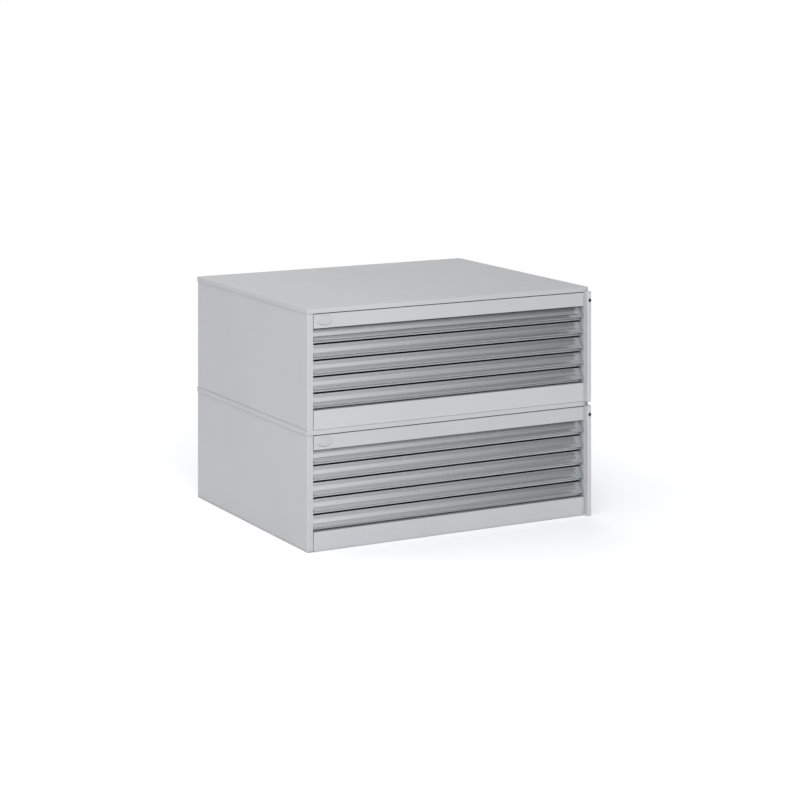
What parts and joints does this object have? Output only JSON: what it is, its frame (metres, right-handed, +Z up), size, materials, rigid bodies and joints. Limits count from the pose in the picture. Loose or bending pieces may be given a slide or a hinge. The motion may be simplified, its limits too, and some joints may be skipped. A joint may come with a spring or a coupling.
{
  "type": "flat file cabinet",
  "caption": "Stacked steel flat files with wide, shallow, aluminium-fronted sliding drawers, plain header and plinth rails, and a lock bar over the right stile.",
  "frame": {"origin": "centre of the bottom of the whole object's bounding box, on the floor", "axes": "+Z up, -Y is the front, where the drawers open, +X is the user's right"},
  "size_m": [1.18, 0.902, 0.84],
  "materials": {
    "painted_steel": "light grey powder coat, fine satin texture",
    "aluminium": "satin anodised extrusion with fine lengthwise lines",
    "zinc_steel": "bright zinc plate",
    "lock_metal": "dark nickel plate"
  },
  "bodies": {
    "cabinet": {"lower_left_side_panel": "painted_steel", "lower_right_side_panel": "painted_steel", "lower_back_panel": "painted_steel", "lower_base_panel": "painted_steel", "lower_plinth_rail": "painted_steel", "lower_header_rail": "painted_steel", "lower_lid": "painted_steel", "lower_lock_bar": "painted_steel", "upper_left_side_panel": "painted_steel", "upper_right_side_panel": "painted_steel", "upper_back_panel": "painted_steel", "upper_base_panel": "painted_steel", "upper_plinth_rail": "painted_steel", "upper_header_rail": "painted_steel", "upper_lid": "painted_steel", "upper_lock_bar": "painted_steel"},
    "lower_drawer_1": {"lower_drawer_1_front": "aluminium", "lower_drawer_1_tray": "painted_steel", "lower_drawer_1_left_runner": "zinc_steel", "lower_drawer_1_right_runner": "zinc_steel"},
    "lower_drawer_2": {"lower_drawer_2_front": "aluminium", "lower_drawer_2_tray": "painted_steel", "lower_drawer_2_left_runner": "zinc_steel", "lower_drawer_2_right_runner": "zinc_steel"},
    "lower_drawer_3": {"lower_drawer_3_front": "aluminium", "lower_drawer_3_tray": "painted_steel", "lower_drawer_3_left_runner": "zinc_steel", "lower_drawer_3_right_runner": "zinc_steel"},
    "lower_drawer_4": {"lower_drawer_4_front": "aluminium", "lower_drawer_4_tray": "painted_steel", "lower_drawer_4_left_runner": "zinc_steel", "lower_drawer_4_right_runner": "zinc_steel"},
    "lower_drawer_5": {"lower_drawer_5_front": "aluminium", "lower_drawer_5_tray": "painted_steel", "lower_drawer_5_left_runner": "zinc_steel", "lower_drawer_5_right_runner": "zinc_steel"},
    "lower_lock_cylinder": {"lower_lock_cylinder": "lock_metal"},
    "lower_lock_rod": {"lower_lock_rod": "zinc_steel"},
    "upper_drawer_1": {"upper_drawer_1_front": "aluminium", "upper_drawer_1_tray": "painted_steel", "upper_drawer_1_left_runner": "zinc_steel", "upper_drawer_1_right_runner": "zinc_steel"},
    "upper_drawer_2": {"upper_drawer_2_front": "aluminium", "upper_drawer_2_tray": "painted_steel", "upper_drawer_2_left_runner": "zinc_steel", "upper_drawer_2_right_runner": "zinc_steel"},
    "upper_drawer_3": {"upper_drawer_3_front": "aluminium", "upper_drawer_3_tray": "painted_steel", "upper_drawer_3_left_runner": "zinc_steel", "upper_drawer_3_right_runner": "zinc_steel"},
    "upper_drawer_4": {"upper_drawer_4_front": "aluminium", "upper_drawer_4_tray": "painted_steel", "upper_drawer_4_left_runner": "zinc_steel", "upper_drawer_4_right_runner": "zinc_steel"},
    "upper_drawer_5": {"upper_drawer_5_front": "aluminium", "upper_drawer_5_tray": "painted_steel", "upper_drawer_5_left_runner": "zinc_steel", "upper_drawer_5_right_runner": "zinc_steel"},
    "upper_lock_cylinder": {"upper_lock_cylinder": "lock_metal"},
    "upper_lock_rod": {"upper_lock_rod": "zinc_steel"}
  },
  "joints": [
    {"name": "lower_drawer_1_slide", "type": "slide", "parent": "cabinet", "child": "lower_drawer_1", "axis": [0, -1, 0], "range_m": [0, 0.62]},
    {"name": "lower_drawer_2_slide", "type": "slide", "parent": "cabinet", "child": "lower_drawer_2", "axis": [0, -1, 0], "range_m": [0, 0.62]},
    {"name": "lower_drawer_3_slide", "type": "slide", "parent": "cabinet", "child": "lower_drawer_3", "axis": [0, -1, 0], "range_m": [0, 0.62]},
    {"name": "lower_drawer_4_slide", "type": "slide", "parent": "cabinet", "child": "lower_drawer_4", "axis": [0, -1, 0], "range_m": [0, 0.62]},
    {"name": "lower_drawer_5_slide", "type": "slide", "parent": "cabinet", "child": "lower_drawer_5", "axis": [0, -1, 0], "range_m": [0, 0.62]},
    {"name": "lower_lock_rod_slide", "type": "slide", "parent": "cabinet", "child": "lower_lock_rod", "axis": [0, 0, 1], "range_m": [0, 0.0065]},
    {"name": "lower_lock_turn", "type": "hinge", "parent": "cabinet", "child": "lower_lock_cylinder", "pos_m": [0.582, -0.44, 0.374], "axis": [0, 1, 0], "range_deg": [0, 90]},
    {"name": "upper_drawer_1_slide", "type": "slide", "parent": "cabinet", "child": "upper_drawer_1", "axis": [0, -1, 0], "range_m": [0, 0.62]},
    {"name": "upper_drawer_2_slide", "type": "slide", "parent": "cabinet", "child": "upper_drawer_2", "axis": [0, -1, 0], "range_m": [0, 0.62]},
    {"name": "upper_drawer_3_slide", "type": "slide", "parent": "cabinet", "child": "upper_drawer_3", "axis": [0, -1, 0], "range_m": [0, 0.62]},
    {"name": "upper_drawer_4_slide", "type": "slide", "parent": "cabinet", "child": "upper_drawer_4", "axis": [0, -1, 0], "range_m": [0, 0.62]},
    {"name": "upper_drawer_5_slide", "type": "slide", "parent": "cabinet", "child": "upper_drawer_5", "axis": [0, -1, 0], "range_m": [0, 0.62]},
    {"name": "upper_lock_rod_slide", "type": "slide", "parent": "cabinet", "child": "upper_lock_rod", "axis": [0, 0, 1], "range_m": [0, 0.0065]},
    {"name": "upper_lock_turn", "type": "hinge", "parent": "cabinet", "child": "upper_lock_cylinder", "pos_m": [0.582, -0.44, 0.794], "axis": [0, 1, 0], "range_deg": [0, 90]}
  ],
  "couplings": [
    {"joint": "lower_lock_turn", "follows": "lower_lock_rod_slide", "rad_per_m": 241.46},
    {"joint": "upper_lock_turn", "follows": "upper_lock_rod_slide", "rad_per_m": 241.46}
  ]
}
